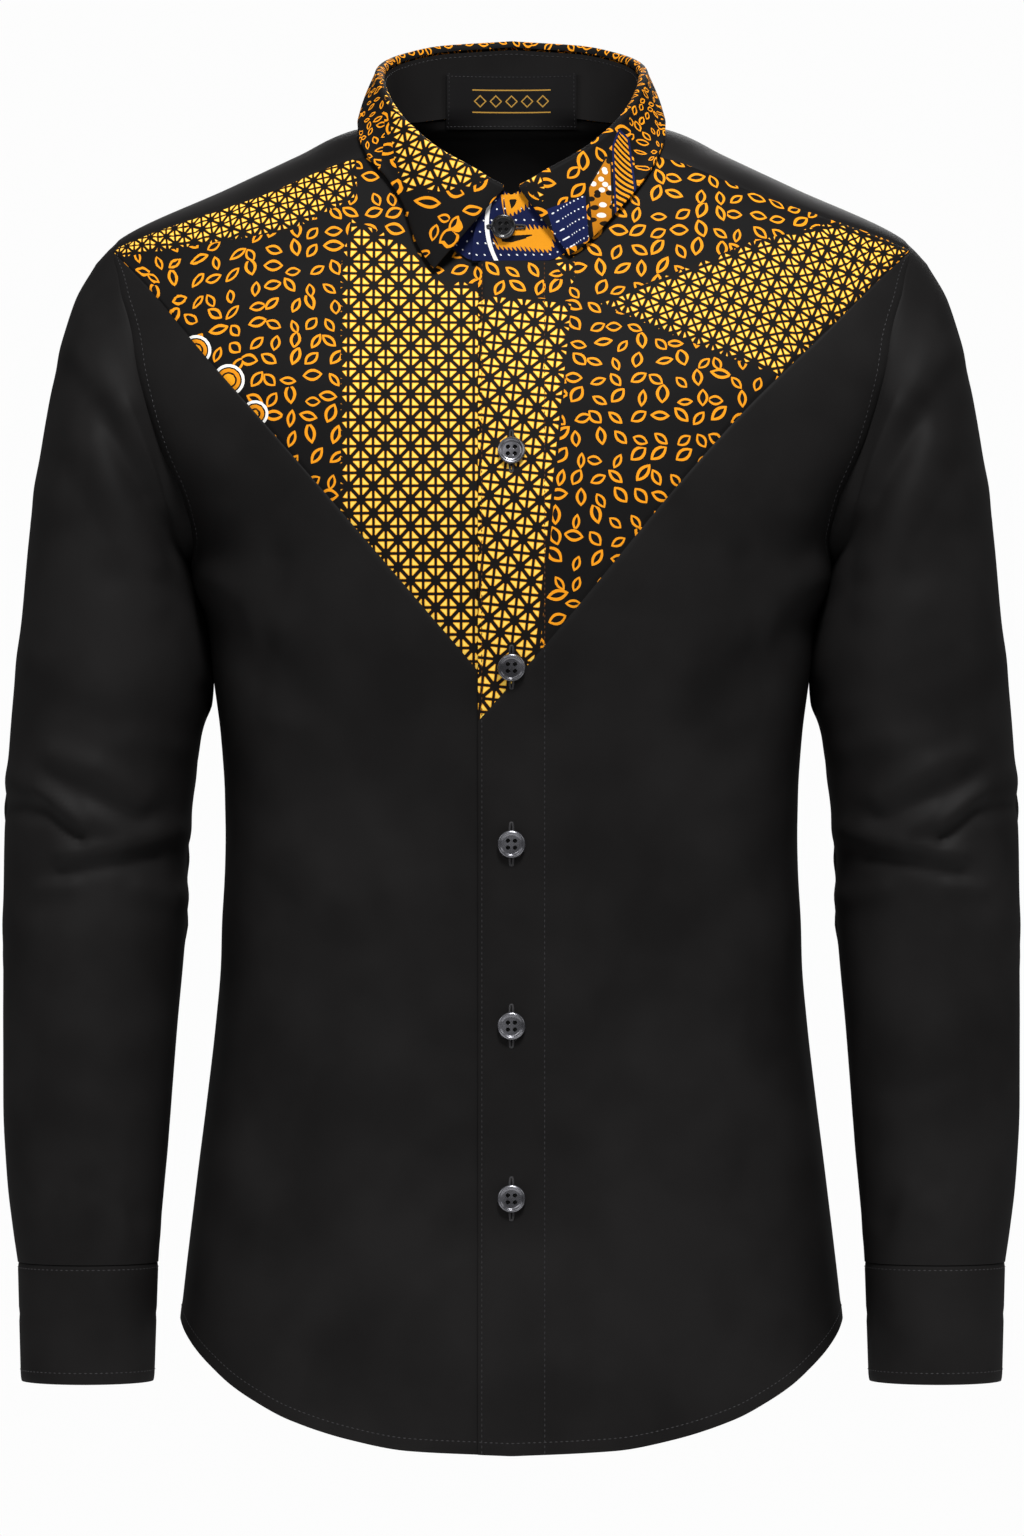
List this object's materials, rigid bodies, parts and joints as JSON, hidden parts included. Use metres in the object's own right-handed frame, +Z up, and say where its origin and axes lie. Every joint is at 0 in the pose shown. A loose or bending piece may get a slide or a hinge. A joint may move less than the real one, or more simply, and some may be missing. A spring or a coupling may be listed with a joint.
{
  "type": "ankara shirt",
  "caption": "Long-sleeved shirt, filled out with no wearer, with a printed V inset across the chest, a printed turn-down collar and open neck, cuffs and hem.",
  "frame": {"origin": "middle of the neck base, where the wearer's neck holds the shirt", "axes": "+Z up, front towards -Y, +X towards the wearer's left"},
  "size_m": [0.5754, 0.2423, 0.799],
  "materials": {
    "black_sateen": "cotton sateen, soft sheen",
    "wax_print": "wax-printed cotton, orange and yellow on black",
    "label_satin": "woven black satin",
    "grey_button": "polished smoky grey",
    "black_button": "polished black"
  },
  "bodies": {
    "root": {"front_right": "black_sateen", "front_left": "black_sateen", "back": "black_sateen", "yoke": "black_sateen", "sleeve_right": "black_sateen", "sleeve_left": "black_sateen", "sleeve_placket_right": "black_sateen", "sleeve_placket_left": "black_sateen", "cuff_right": "black_sateen", "cuff_left": "black_sateen", "inset_right": "wax_print", "inset_left": "wax_print", "collar_stand": "wax_print", "collar_leaf": "wax_print", "neck_label": "label_satin", "button_front_1": "grey_button", "button_front_2": "grey_button", "button_front_3": "grey_button", "button_front_4": "grey_button", "button_front_5": "grey_button", "button_collar": "black_button", "button_cuff_right": "black_button", "button_cuff_left": "black_button"}
  },
  "joints": []
}
